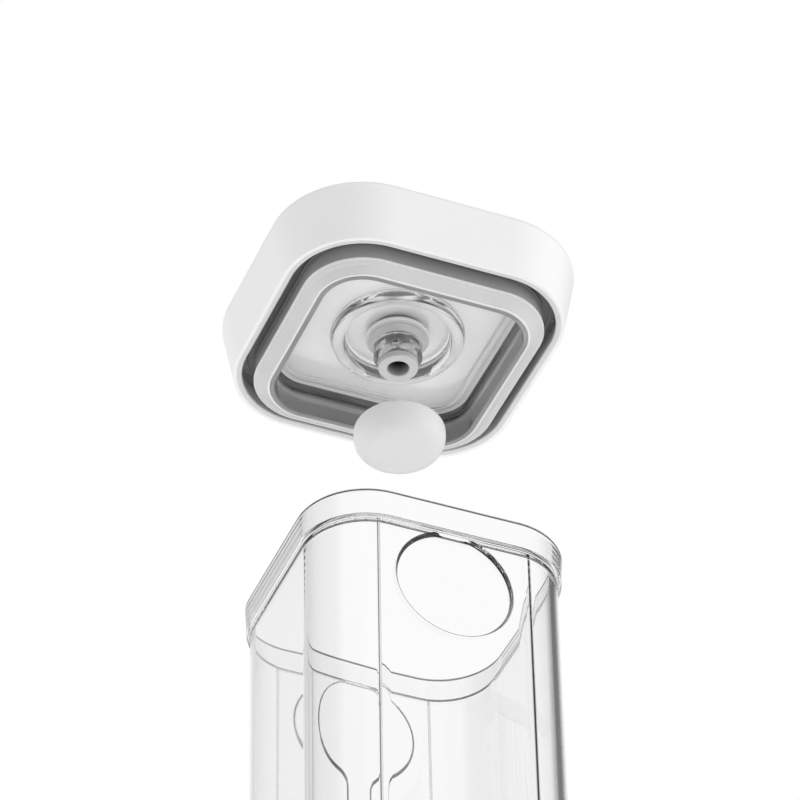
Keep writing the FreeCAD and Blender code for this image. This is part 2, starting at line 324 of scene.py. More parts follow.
@dataclass(frozen=True)
class MouldedPlastic(Finish):
    """Opaque or milky plastic from a finely eroded mould.

    The real grain is finer than a tenth of a millimetre. It is drawn as coarse as it needs to show.
    """
    second_colour: str
    mottle_mm: float
    grain_mm: float
    grain_depth_mm: float
    milky: float = 0.0
    milky_mm: float = 1.0
    shade: PaintedShade | None = None

    def dress(self, tree: bpy.types.NodeTree, shader: bpy.types.Node, place: bpy.types.Node) -> None:
        """Add the grain, a slight mottle of colour and gloss, the milky depth and the painted shade.

        Args:
            tree: the material's nodes.
            shader: the shader node.
            place: the node that gives coordinates on the piece.
        """
        shader.inputs["Subsurface Weight"].default_value = self.milky
        shader.inputs["Subsurface Scale"].default_value = self.milky_mm * MM
        shader.inputs["Subsurface Radius"].default_value = (1.0, 1.0, 1.0)
        mottle = add_node(tree, "ShaderNodeTexNoise", {"Scale": 1 / (self.mottle_mm * MM), "Detail": 3.0},
                          {"Vector": place.outputs["Object"]})
        gloss = add_node(tree, "ShaderNodeMapRange",
                         {"To Min": self.roughness * (1 - GLOSS_SPREAD),
                          "To Max": self.roughness * (1 + GLOSS_SPREAD)},
                         {"Value": mottle.outputs[0]})
        grain = add_node(tree, "ShaderNodeTexNoise", {"Scale": 1 / (self.grain_mm * MM), "Detail": 2.0},
                         {"Vector": place.outputs["Object"]})
        bump = add_node(tree, "ShaderNodeBump", {"Distance": self.grain_depth_mm * MM},
                        {"Height": grain.outputs[0]})
        tone = add_node(tree, "ShaderNodeMix",
                        {"data_type": "RGBA", 6: linear(self.colour), 7: linear(self.second_colour)},
                        {0: mottle.outputs[0]})
        if self.shade:
            shaded = self.shade.mix(tree, place, self.colour)
            tree.links.new(tone.outputs[2], shaded.inputs[6])
            tone = shaded
        tree.links.new(tone.outputs[2], shader.inputs["Base Color"])
        tree.links.new(gloss.outputs[0], shader.inputs["Roughness"])
        tree.links.new(bump.outputs["Normal"], shader.inputs["Normal"])


# clear copolyester from a polished mould: glassy, no tint, its edges gather the dark of the room
CLEAR_COPOLYESTER = ClearPlastic("clear_copolyester_moulded", "fbfbfb", 1.57, 0.0, 30.0, 0.004)
# painted shade: the same plastic in the dish's edge, coloured grey and painted darker at the top, where the
# real edge sends the light aside and looks dark
PAINTED_DARK_EDGE_COPOLYESTER = ClearPlastic("clear_copolyester_painted_dark_edge", "8c8c8c", 1.57, 0.0, 30.0, 0.004,
                                shade=PaintedShade("101010", 161.0 * MM, 174.0 * MM, Height.METRES))
# clear styrene plastic, a little brighter in its reflections and just as clear
CLEAR_STYRENE = ClearPlastic("clear_styrene_moulded", "fafafa", 1.59, 0.0, 20.0, 0.002)
# the same plastic, stoned flat on the downstand's foot: half clear
STONED_STYRENE = ClearPlastic("clear_styrene_stoned", "b4b4b4", 1.59, 0.3, 20.0, 0.002, 0.45)
# styrene plastic with a little filler: bright, and what lies behind it is slightly veiled
MILKY_STYRENE = ClearPlastic("milky_styrene_moulded", "f6f6f6", 1.59, 0.02, 12.0, 0.004, 0.94)
# white ABS from an eroded mould: even white, soft highlights
WHITE_ABS = MouldedPlastic("white_abs_moulded", "f3f3f3", 1.5, 0.42, "f0f0f0", 25.0, 0.5, 0.003)
# painted shade: white ABS on the skirt's thick edge, coloured a shade greyer than the outside
PAINTED_SHADE_EDGE_ABS = MouldedPlastic("white_abs_edge_painted_shade", "d8d8d8", 1.5, 0.5, "d4d4d4", 25.0, 0.5, 0.003)
# painted shade: white ABS of the liner's rolled edge, coloured dark grey because it lies against the gasket
# in the dark
PAINTED_SHADE_ABS = MouldedPlastic("white_abs_painted_shade", "4c4c4c", 1.5, 0.5, "464646", 25.0, 0.5, 0.003)
# grey silicone rubber: milky, soft sheen
GREY_SILICONE = MouldedPlastic("grey_silicone_moulded", "cecece", 1.41, 0.2, "c6c6c6", 12.0, 0.6, 0.002,
                               0.2, 1.0)
# the same rubber where it is thin, in the gasket's lead-in: light passes, so it looks pale
PALE_SILICONE = MouldedPlastic("grey_silicone_thin_moulded", "dcdcdc", 1.41, 0.3, "d4d4d4", 12.0, 0.6, 0.002,
                               0.3, 1.5)
# painted highlight: the same rubber at the raised edges of the gasket and the grommet, coloured near white so
# that they seem to gather the light and glow
PAINTED_HIGHLIGHT_SILICONE = MouldedPlastic("grey_silicone_painted_highlight", "f6f6f6", 1.41, 0.25, "f0f0f0", 12.0, 0.6, 0.002,
                               0.3, 1.5)
# painted shade: the same rubber in the gasket's outer wall, coloured darker and painted darker still further
# up, deep in the groove
PAINTED_SHADE_GROOVE_SILICONE = MouldedPlastic("grey_silicone_wall_painted_shade", "b4b4b4", 1.41, 0.3, "acacac", 12.0, 0.6,
                                 0.002, shade=PaintedShade("767676", 0.64, 0.8))
# painted shade: the same rubber in the gasket's inner wall, coloured grey and painted deep grey further up,
# for the shade seen through the clear plate
PAINTED_SHADE_INNER_SILICONE = MouldedPlastic("grey_silicone_inner_painted_shade", "a8a8a8", 1.41, 0.35, "a2a2a2", 12.0, 0.6,
                               0.002, shade=PaintedShade("262626", 0.62, 0.74))
# white silicone rubber: light goes some way in, so shadows are pale and edges glow
WHITE_SILICONE = MouldedPlastic("white_silicone_moulded", "e9e9e9", 1.41, 0.5, "e5e5e5", 8.0, 0.5, 0.004,
                                0.2, 1.5)
# light grey acetal: matte, even
GREY_ACETAL = MouldedPlastic("grey_acetal_moulded", "d6d6d6", 1.48, 0.5, "d0d0d0", 6.0, 0.4, 0.003)
# painted shade: acetal in the bore, pale at the mouth and painted dark further in, where little light comes
BORE_ACETAL = MouldedPlastic("grey_acetal_bore_painted_shade", "b8b8b8", 1.48, 0.5, "b0b0b0", 4.0, 0.4, 0.003,
                             shade=PaintedShade("262626", 0.1, 0.75))
# painted shade: acetal of the snap tab behind its opening, coloured dark grey
PAINTED_SHADE_ACETAL = MouldedPlastic("grey_acetal_painted_shade", "767676", 1.48, 0.4, "6e6e6e", 4.0, 0.4, 0.003)
# painted board: matte and pale
PALE_BOARD = MouldedPlastic("pale_painted_board", "f4f4f4", 1.5, 0.7, "f1f1f1", 40.0, 2.0, 0.002)


def make_piece(name: str, points: Points, faces: Faces, finish: Finish, body: str,
               lift: float = 0.0, stands_for_node: bool = True) -> bpy.types.Object:
    """Make a mesh piece.

    Args:
        name: the piece's name, which is the CAD node's where it stands for one.
        points: the mesh's points in millimetres.
        faces: point numbers of each face.
        finish: what the piece is made of.
        body: the CAD body that it rides on.
        lift: height of the points' zero above the ground.
        stands_for_node: whether it takes the place of the CAD node of its name.

    Returns:
        The new object.
    """
    shape = bmesh.new()
    corners = [shape.verts.new((p.x * MM, p.y * MM, (p.z + lift) * MM)) for p in points]
    for face in faces:
        shape.faces.new([corners[i] for i in face])
    bmesh.ops.recalc_face_normals(shape, faces=shape.faces)
    mesh = bpy.data.meshes.new(name + "_looks")
    shape.to_mesh(mesh)
    shape.free()
    mesh.shade_smooth()
    mesh.set_sharp_from_angle(angle=SMOOTH_LIMIT)
    mesh.materials.append(finish.material())
    piece = bpy.data.objects.new(name + "_looks", mesh)
    bpy.context.scene.collection.objects.link(piece)
    weighted = piece.modifiers.new("flat_faces_stay_flat", "WEIGHTED_NORMAL")
    weighted.keep_sharp = True
    if stands_for_node:
        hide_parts(name)
    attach(piece, body)
    log.info("built %s in %s", name, finish.name)
    return piece


def change_faces(piece: bpy.types.Object, finish: Finish, chosen: Callable[[Vector, Vector], bool]) -> None:
    """Give a second finish to some faces of a piece.

    Args:
        piece: the piece.
        finish: what those faces look like.
        chosen: tells from a face's middle, in millimetres, and its normal whether it is one of them.
    """
    mesh = piece.data
    mesh.materials.append(finish.material())
    for face in mesh.polygons:
        if chosen(face.center / MM, face.normal):
            face.material_index = len(mesh.materials) - 1


def outward(middle: Vector, normal: Vector) -> float:
    """How far a face looks away from the axis, from -1 to 1."""
    return normal.xy.dot(middle.xy.normalized())


def dress_node(name: str, finish: Finish) -> None:
    """Give a CAD node its finish.

    Args:
        name: the node.
        finish: what it is made of.
    """
    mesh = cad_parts[name].data
    mesh.materials.clear()
    mesh.materials.append(finish.material())
    log.info("dressed %s in %s", name, finish.name)


@dataclass
class Container:
    """Clear vessel with a collar, a flat panel on two walls and a dish pressed into each panel."""
    corner_centre: float = 22.5
    height: float = 200.0
    base_half: float = 44.0
    body_half: float = 45.0
    ledge_shelf: float = 0.2
    wall: float = 3.0
    floor: float = 3.2
    base_round: float = 5.0
    floor_round: float = 4.0
    foot_half: float = 32.0
    foot_height: float = 0.8
    collar_height: float = 11.3
    collar_half: float = 46.75
    collar_step: float = 1.05
    rim_half: float = 45.0
    rim_round: float = 0.85
    shelf_round: float = 0.6
    edge_round: float = 0.15
    corner_end: float = 77.5
    crease_end: float = 80.5
    panel_inset: float = 0.4
    crease_width: float = 0.6
    crease_height: float = 0.34
    dish_radius: float = 20.3
    dish_depth: float = 1.4
    dish_round: float = 0.57
    dish_tuck: float = 0.6
    dish_margin: float = 0.1
    stem_half: float = 5.0
    stem_foot: float = 16.0
    stem_blend: float = 7.0
    wall_shares: tuple[float, ...] = (0.96, 0.75, 0.5, 0.25, 0.0)
    arc_steps: int = 22
    crease_steps: int = 10
    panel_steps: int = 3
    round_steps: int = 5
    base_steps: int = 8
    dish_steps: int = 40
    blend_steps: int = 8
    stem_steps: int = 10

    def __post_init__(self) -> None:
        """Work out the levels that follow from the sizes."""
        self.ledge = self.height - self.collar_height
        self.dish_z = self.ledge - self.dish_radius + self.dish_tuck
        self.points: Points = []
        self.faces: Faces = []

    def wall_half(self, z: float) -> float:
        """Half-width across the outside of the drafted wall at a height."""
        rise = self.body_half - self.ledge_shelf - self.base_half
        return self.base_half + rise * z / self.ledge

    def panel_y(self, z: float) -> float:
        """Distance of the flat panels from the middle at a height."""
        return self.wall_half(z) - self.panel_inset

    def add(self, points: Points) -> list[int]:
        """Store points.

        Args:
            points: the points.

        Returns:
            Their numbers.
        """
        first = len(self.points)
        self.points.extend(points)
        return list(range(first, len(self.points)))

    def plain_quarter(self, half: float, z: float) -> Points:
        """One quarter of a plain rounded-square row, from the right side to the middle of the panel side.

        Args:
            half: half-width of the row.
            z: its height.

        Returns:
            The points of the corner, the stretch beside the crease and half of the panel.
        """
        stops = (0.0, math.radians(self.corner_end), math.radians(self.crease_end), math.pi / 2)
        angles = [0.0]
        for start, end, count in zip(stops, stops[1:], (self.arc_steps, self.crease_steps, self.panel_steps)):
            angles += [start + (end - start) * i / count for i in range(1, count + 1)]
        centre, radius = self.corner_centre, half - self.corner_centre
        return [Vector((centre + radius * math.cos(a), centre + radius * math.sin(a), z)) for a in angles]

    def creased_quarter(self, gap: float, z: float) -> Points:
        """One quarter of a wall row that has the panel, up to where the panel is flat.

        A low bead runs along the crease between the corner and the panel.

        Args:
            gap: how far the row's plain outline lies inside the straight wall.
            z: its height.

        Returns:
            The points of the corner and the bead.
        """
        centre = self.corner_centre
        radius = self.wall_half(z) - gap - centre
        depth = self.panel_inset - gap
        crease = math.asin(1 - depth / radius)
        width = self.crease_width
        start = crease - width / radius
        angles = [start * i / self.arc_steps for i in range(self.arc_steps + 1)]
        points = [Vector((centre + radius * math.cos(a), centre + radius * math.sin(a), z)) for a in angles]
        crease_x = centre + radius * math.cos(crease)
        for step in range(1, self.crease_steps + 1):
            along = width * (2 * step / self.crease_steps - 1)
            if along <= 0:
                angle = crease + along / radius
                place = Vector((centre + radius * math.cos(angle), centre + radius * math.sin(angle), z))
            else:
                place = Vector((crease_x - along, self.panel_y(z), z))
            facing = start + (math.pi / 2 - start) * step / self.crease_steps
            swell = (1 + math.cos(math.pi * along / width)) / 2
            bulge = self.crease_height * depth / self.panel_inset * swell
            points.append(place + Vector((math.cos(facing), math.sin(facing), 0)) * bulge)
        return points

    def full_row(self, quarter: Points) -> list[int]:
        """Mirror a quarter to a whole row and store it.

        Args:
            quarter: the quarter's points.

        Returns:
            Point numbers of the row, counter-clockwise from the right side.
        """
        mirrored = [Vector((-p.x, p.y, p.z)) for p in reversed(quarter)]
        back = quarter + mirrored
        return self.add(back + [Vector((-p.x, -p.y, p.z)) for p in back])

    def core(self, row: list[int], part: int) -> list[int]:
        """Point numbers of one corner of a row, with its creases and without its panels.

        Args:
            row: the whole row.
            part: 0 to 3, counter-clockwise from the back right corner.

        Returns:
            The numbers, counter-clockwise.
        """
        size = len(row) // 4
        kept = self.arc_steps + self.crease_steps + 1
        first = part * size if part % 2 == 0 else (part + 1) * size - kept
        return row[first:first + kept]

    def join(self, low: list[int], high: list[int], closed: bool) -> None:
        """Add the quads between two rows of as many points.

        Args:
            low: point numbers of one row.
            high: point numbers of the other.
            closed: whether the rows' ends are joined too.
        """
        count = len(low)
        for step in range(count if closed else count - 1):
            after = (step + 1) % count
            self.faces.append((low[step], low[after], high[after], high[step]))

    def join_corners(self, low: list[int], high: list[int]) -> None:
        """Add the quads between two rows on the corners and the plain sides, and leave the panels open.

        Args:
            low: point numbers of one row.
            high: point numbers of the other.
        """
        for first, second in ((3, 0), (1, 2)):
            self.join(self.core(low, first) + self.core(low, second),
                      self.core(high, first) + self.core(high, second), False)

    def dish_outline(self, out: float, depth: float, stemmed: bool) -> Points:
        """One ring of a dish, as it lies on the back panel, open where the ledge cuts its top.

        Args:
            out: how far the ring lies outside the dish's wall.
            depth: how deep it lies under the panel.
            stemmed: whether a strip runs down from the dish.

        Returns:
            The ring's points, from the right end of the cut round to its left end.
        """
        radius = self.dish_radius + out
        top = math.asin((self.ledge - self.dish_z) / radius)
        blend_x = self.stem_half + self.stem_blend
        blend_drop = math.sqrt((self.dish_radius + self.stem_blend) ** 2 - blend_x ** 2)
        meet = math.atan2(-blend_drop, blend_x) if stemmed else -math.pi / 2
        side = []
        for i in range(self.dish_steps + 1):
            angle = top + (meet - top) * i / self.dish_steps
            side.append((radius * math.cos(angle), self.dish_z + radius * math.sin(angle)))
        if stemmed:
            blend_z, blend = self.dish_z - blend_drop, self.stem_blend - out
            for i in range(self.blend_steps + 1):
                angle = meet + math.pi - meet * i / self.blend_steps
                side.append((blend_x + blend * math.cos(angle), blend_z + blend * math.sin(angle)))
            foot_z, reach = self.stem_foot + self.stem_half, self.stem_half + out
            for i in range(self.stem_steps + 1):
                angle = -math.pi / 2 * i / self.stem_steps
                side.append((reach * math.cos(angle), foot_z + reach * math.sin(angle)))
        outline = side + [(-x, z) for x, z in reversed(side[:-1])]
        return [Vector((x, self.panel_y(z) - depth, z)) for x, z in outline]

    def dish_rings(self, stemmed: bool, turned: bool) -> list[list[int]]:
        """Store the rings of a dish with rounded edges, from the panel down to the dish's floor.

        Args:
            stemmed: whether a strip runs down from the dish.
            turned: whether it lies on the front wall.

        Returns:
            Point numbers of each ring.
        """
        rounding = [math.pi / 2 * i / self.round_steps for i in range(self.round_steps + 1)]
        size = self.dish_round
        offsets = [(size * (1 - math.sin(a)), size * (1 - math.cos(a))) for a in rounding]
        offsets += [(-size * (1 - math.cos(a)), self.dish_depth - size * (1 - math.sin(a))) for a in rounding]
        sign = -1 if turned else 1
        rings = []
        for out, depth in offsets:
            outline = self.dish_outline(out, depth, stemmed)
            rings.append(self.add([Vector((sign * p.x, sign * p.y, p.z)) for p in outline]))
        return rings

    def panel(self, walls: list[list[int]], below: list[int], above: list[int], turned: bool) -> None:
        """Close one panel with its dish, the strip under it and the ledge over it.

        Args:
            walls: the wall rows that the panel lies in, from the lowest.
            below: the plain row under them.
            above: the plain row over them, on the ledge.
            turned: whether it is the front panel.
        """
        right, left = (2, 3) if turned else (0, 1)
        size = len(below) // 4
        side = slice(right * size + self.arc_steps + self.crease_steps,
                     left * size + self.panel_steps + 1)
        right_edge = [self.core(row, right)[-1] for row in walls]
        left_edge = [self.core(row, left)[0] for row in walls]
        self.faces.append(tuple(below[side] + [left_edge[0], right_edge[0]]))
        rings = self.dish_rings(not turned, turned)
        for low, high in zip(rings, rings[1:]):
            self.join(low, high, False)
        self.faces.append(tuple(rings[-1]))
        self.faces.append(tuple(right_edge + rings[0] + left_edge[::-1]))
        cut = [ring[0] for ring in rings] + [ring[-1] for ring in reversed(rings)]
        self.faces.append(tuple([right_edge[-1]] + cut + [left_edge[-1]] + above[side][::-1]))

    def is_painted_dark_dish_edge(self, middle: Vector, normal: Vector) -> bool:
        """Tell whether a face belongs to the edge of the round dish on the front panel, which is painted dark
        as painted shade.

        Args:
            middle: the face's middle.
            normal: its normal.

        Returns:
            Whether it does. On the right the rounded lip is left out.
        """
        out = math.hypot(middle.x, middle.z - self.dish_z) - self.dish_radius
        lip = -self.dish_margin if middle.x > 0 else self.dish_round + self.dish_margin
        on_front = middle.y < self.wall - self.base_half and middle.z < self.ledge - self.edge_round
        return on_front and -self.dish_round - self.dish_margin < out < lip

    def build(self) -> None:
        """Make the container."""
        edge, start = self.edge_round, math.acos(1 - self.panel_inset / self.base_round)
        low = filleted([(self.foot_half, self.foot_height), (self.foot_half, 0.0, edge),
                        (self.base_half - self.base_round, 0.0)], False)[:-1]
        rows = [self.full_row(self.plain_quarter(half, z)) for half, z in low]
        for step in range(self.base_steps + 1):
            angle = math.pi / 2 + (start - math.pi / 2) * step / self.base_steps
            z = self.base_round * (1 - math.sin(angle))
            half = self.wall_half(z) - self.base_round * (1 - math.cos(angle))
            rows.append(self.full_row(self.plain_quarter(half, z)))
        walls = []
        for share in self.wall_shares:
            z = self.base_round * (1 - math.sin(start * share))
            gap = self.base_round * (1 - math.cos(start * share))
            walls.append(self.full_row(self.creased_quarter(gap, z)))
        walls.append(self.full_row(self.creased_quarter(0.0, self.ledge)))
        top = filleted([
            (self.body_half, self.ledge),
            (self.body_half + self.collar_step, self.ledge + self.collar_step, edge),
            (self.collar_half, self.height, self.rim_round),
            (self.rim_half, self.height, self.rim_round),
            (self.rim_half, self.ledge + edge, self.shelf_round),
            (self.body_half - self.wall, self.ledge, self.shelf_round),
            (self.base_half - self.wall, self.floor, self.floor_round),
            (self.foot_half, self.floor),
        ], False)
        tops = [self.full_row(self.plain_quarter(half, z)) for half, z in top]
        for lower, upper in list(zip(rows, rows[1:])) + list(zip(tops, tops[1:])):
            self.join(lower, upper, True)
        for lower, upper in zip([rows[-1]] + walls, walls + [tops[0]]):
            self.join_corners(lower, upper)
        for turned in (False, True):
            self.panel(walls, rows[-1], tops[0], turned)
        self.faces.append(tuple(rows[0]))
        self.faces.append(tuple(tops[-1]))
        body = make_piece("container_body", self.points, self.faces, CLEAR_COPOLYESTER,
                          "container")
        # the dish's edge on the front panel is painted dark: painted shade
        change_faces(body, PAINTED_DARK_EDGE_COPOLYESTER, self.is_painted_dark_dish_edge)


@dataclass
class Lid:
    """White shell with the clear plate, the liner behind it, the gasket and the skirt's thick edge.

    skirt is the height of the skirt's lower edge above the ground, and the other heights are above it.
    """
    skirt: float
    air_gap: float = 0.08
    round_within: float = 28.0
    corner_steps: int = 28
    side_steps: int = 12
    waist: float = 6.7
    well_floor: float = 8.8
    well_round: float = 1.5
    ring_in: float = 18.7
    ring_out: float = 23.7
    ring_low: float = 4.0
    crest_in: float = 2.4
    crest_out: float = 1.8
    ring_root: float = 0.6
    hub_top: float = 10.2
    dock_floor: float = 10.6
    head_clear: float = 9.3
    ceiling: float = 7.4
    recess_half: float = 37.2
    recess_round: float = 1.6
    frame_half: float = 32.2
    frame_step: float = 0.22
    frame_rise: float = 0.5
    frame_round: float = 0.3
    frame_line: float = 34.6
    line_half: float = 0.35
    line_depth: float = 0.2
    foot_round: float = 0.45
    plate_back: float = 9.2
    back_half: float = 38.4
    back_round: float = 3.0
    back_foot: float = 5.6
    flange_low_half: float = 52.1
    flange_high_half: float = 52.4
    liner_hole: float = 23.9
    liner_high: float = 10.3
    liner_rim: float = 0.6
    liner_shade: float = 37.2
    dock_out: float = 22.1
    skirt_edge_half: float = 48.7
    skirt_edge_low: float = 0.12
    skirt_edge_high: float = 8.0
    skirt_edge_round: float = 0.6
    skirt_inner_half: float = 50.4
    skirt_sink: float = 0.8
    skirt_flare: float = 0.197
    gasket_in: float = 39.0
    gasket_out: float = 44.2
    gasket_foot: float = 6.0
    gasket_steps: int = 4
    gasket_edge: tuple[float, float] = (44.7, -2.7)
    gasket_edge_round: float = 0.2
    gasket_edge_wall: float = 0.6
    gasket_edge_top: float = 0.9
    gasket_edge_shown: tuple[float, float] = (0.2, 0.8)
    gasket_knee: tuple[float, float] = (42.2, -3.5)
    gasket_knee_round: float = 0.8
    # along the lead-in: distance from its outer or inner edge, and how far the corner stands off
    edge_relief: tuple[tuple[float, float], ...] = ((1.3, 0.0), (1.15, -0.15), (0.95, -0.15), (0.8, 0.0))
    foot_relief: tuple[tuple[float, float], ...] = (
        (0.1, -0.25), (0.35, 0.1), (0.85, 0.1), (1.0, -0.12), (1.3, -0.12), (1.45, 0.0))
    foot_bead: tuple[float, float] = (0.1, 0.75)
    lip_out: float = 47.0
    lip_low: float = 7.6
    lip_high: float = 8.8
    lip_root: float = 0.3
    bead: float = 0.5
    bead_round: float = 0.25
    bead_level: float = 5.6
    # how far faces look away from the axis or up, from -1 to 1, where a painted shade or painted highlight
    # starts or ends
    groove_facing: float = -0.5
    inner_facing: float = -0.7
    foot_facing: float = -0.3

    def build(self) -> None:
        """Make the lid's pieces."""
        dress_node("lid_shell", WHITE_ABS)
        self.plate()
        self.liner()
        self.gasket()
        self.skirt_edge()

    def sweep(self, corners: Corners) -> tuple[Points, Faces]:
        """Sweep a section that is round near the axis and square further out.

        Args:
            corners: the section's corners.

        Returns:
            The points and the faces.
        """
        rows = [(half, z, Route.ROUND if half < self.round_within else Route.SQUARE)
                for half, z in filleted(corners)]
        return Sweep(corner_steps=self.corner_steps, side_steps=self.side_steps).closed_ring(rows)

    def plate(self) -> None:
        """Make the clear plate: ring and well round the nozzle, ceiling, downstand, and the outer flange."""
        gap, foot, edge = self.air_gap, -self.gasket_foot, self.ceiling - self.frame_step
        points, faces = self.sweep([
            (self.waist, self.well_floor),
            (self.ring_in, self.well_floor, self.well_round),
            (self.ring_in, self.ring_low, self.crest_in),
            (self.ring_out, self.ring_low, self.crest_out),
            (self.ring_out, self.ceiling, self.ring_root),
            (self.frame_half, self.ceiling, self.frame_round),
            (self.frame_half + self.frame_rise, edge, self.frame_round),
            (self.frame_line - self.line_half, edge),
            (self.frame_line, edge + self.line_depth),
            (self.frame_line + self.line_half, edge),
            (self.recess_half, edge, self.recess_round),
            (self.recess_half, foot, self.foot_round),
            (self.gasket_in, foot, self.foot_round),
            (self.gasket_in, self.back_foot - self.gasket_in + self.back_half),
            (self.back_half, self.back_foot),
            (self.back_half, self.plate_back, self.back_round),
            (self.ring_out, self.plate_back),
            (self.ring_out, self.hub_top - gap),
            (self.waist, self.hub_top - gap),
        ])
        low, high = self.lip_high + gap, self.dock_floor - gap
        flange_points, flange_faces = self.sweep([
            (self.gasket_in + 2 * gap, low),
            (self.flange_low_half - gap, low),
            (self.flange_high_half - gap, high),
            (self.gasket_in + 2 * gap, high),
        ])
        count = len(points)
        faces += [tuple(index + count for index in face) for face in flange_faces]
        plate = make_piece("inner_plate", points + flange_points, faces, CLEAR_STYRENE, "lid",
                           self.skirt)
        stoned = self.skirt + foot + self.foot_round
        change_faces(plate, STONED_STYRENE, lambda middle, normal: middle.z < stoned)

    def liner(self) -> None:
        """Make the white plate behind the clear one, a breath of air away from it."""
        gap, over, rise = self.air_gap, self.hub_top, self.liner_rim
        low, high = self.plate_back + gap, self.liner_high - gap
        points, faces = self.sweep([
            (self.liner_hole, low),
            (self.back_half + gap, low, self.back_round + gap),
            (self.back_half + gap, self.back_foot + rise),
            (self.gasket_in - gap, self.back_foot + rise),
            (self.gasket_in - gap, high),
            (self.liner_hole + rise, high),
            (self.liner_hole + rise, over + rise),
            (self.dock_out, over + rise),
            (self.dock_out, self.dock_floor - gap),
            (self.head_clear, self.dock_floor - gap),
            (self.head_clear, over),
            (self.liner_hole, over),
        ])
        liner = make_piece("white_liner", points, faces, WHITE_ABS, "lid", self.skirt)
        # the liner's rolled edge is coloured dark grey: painted shade
        change_faces(liner, PAINTED_SHADE_ABS, lambda middle, normal: Sweep().half_of(middle) > self.liner_shade)

    def skirt_edge(self) -> None:
        """Make the thick lower edge inside the skirt, in a greyer white that is painted shade."""
        low, high = self.skirt_edge_low, self.skirt_edge_high
        sunk = self.skirt_inner_half + self.skirt_sink
        points, faces = self.sweep([
            (self.skirt_edge_half, low, self.skirt_edge_round),
            (sunk, low),
            (sunk + self.skirt_flare * high, high),
            (self.skirt_edge_half + self.skirt_flare * high, high),
        ])
        # the thick edge is coloured a greyer white: painted shade
        make_piece("skirt_edge", points, faces, PAINTED_SHADE_EDGE_ABS, "lid", self.skirt, False)

    def gasket(self) -> None:
        """Make the gasket: a sealing bead on its wall, and a lead-in with a knee and raised edges."""
        out, level, bead = self.gasket_out, self.bead_level, self.bead
        edge, knee = Vector(self.gasket_edge), Vector(self.gasket_knee)
        inner = Vector((self.gasket_in, -self.gasket_foot))
        run = (inner - knee).length
        high = self.lip_high - self.air_gap
        corners = [
            *(off_line(knee, inner, run - distance, rise) for distance, rise in self.foot_relief),
            (knee.x, knee.y, self.gasket_knee_round),
            *(off_line(edge, knee, distance, rise) for distance, rise in self.edge_relief),
            (edge.x, edge.y, self.gasket_edge_round),
            (edge.x, edge.y + self.gasket_edge_wall, FINE_ROUND),
            (out, edge.y + self.gasket_edge_top, FINE_ROUND),
            (out, level - bead, FINE_ROUND),
            (out + bead, level, self.bead_round),
            (out, level + bead, FINE_ROUND),
            (out, self.lip_low, self.lip_root),
            (self.lip_out, self.lip_low, self.bead_round),
            (self.lip_out, high, self.bead_round),
            (self.gasket_in + self.air_gap, high),
        ]
        rows = [(half, z, Route.SQUARE) for half, z in filleted(corners, True, self.gasket_steps)]
        points, faces = Sweep(side_steps=1).closed_ring(rows)
        ring = make_piece("lid_gasket", points, faces, PALE_SILICONE, "lid", self.skirt)
        # the groove wall is coloured darker, more so further up: painted shade
        change_faces(ring, PAINTED_SHADE_GROOVE_SILICONE, self.is_groove_face)
        # the inner wall is coloured deep grey: painted shade
        change_faces(ring, PAINTED_SHADE_INNER_SILICONE, self.is_inner_face)
        # the raised edges are coloured near white: painted highlight
        change_faces(ring, PAINTED_HIGHLIGHT_SILICONE, self.is_raised_face)

    def above_lead_in(self, middle: Vector) -> bool:
        """Tell whether a place on the gasket is above the raised edge of its lead-in."""
        return middle.z > self.skirt + self.gasket_edge[1] + self.gasket_edge_shown[1]

    def is_groove_face(self, middle: Vector, normal: Vector) -> bool:
        """Tell whether a gasket face, by its middle and normal, lies in the groove beside the skirt, where
        the painted shade goes.
        """
        return outward(middle, normal) > self.groove_facing and self.above_lead_in(middle)

    def is_inner_face(self, middle: Vector, normal: Vector) -> bool:
        """Tell whether a gasket face, by its middle and normal, lies on the downstand, where the deep grey
        painted shade goes.
        """
        return outward(middle, normal) < self.inner_facing

    def is_raised_face(self, middle: Vector, normal: Vector) -> bool:
        """Tell whether a gasket face belongs to a raised edge of the lead-in, which takes the painted
        highlight.

        Args:
            middle: the face's middle.
            normal: its normal.

        Returns:
            Whether it does.
        """
        half = Sweep().half_of(middle)
        at_edge = half > self.gasket_out + self.gasket_edge_shown[0]
        at_foot = self.foot_bead[0] < half - self.gasket_in < self.foot_bead[1]
        return not self.above_lead_in(middle) and (at_edge or (at_foot and normal.z < self.foot_facing))


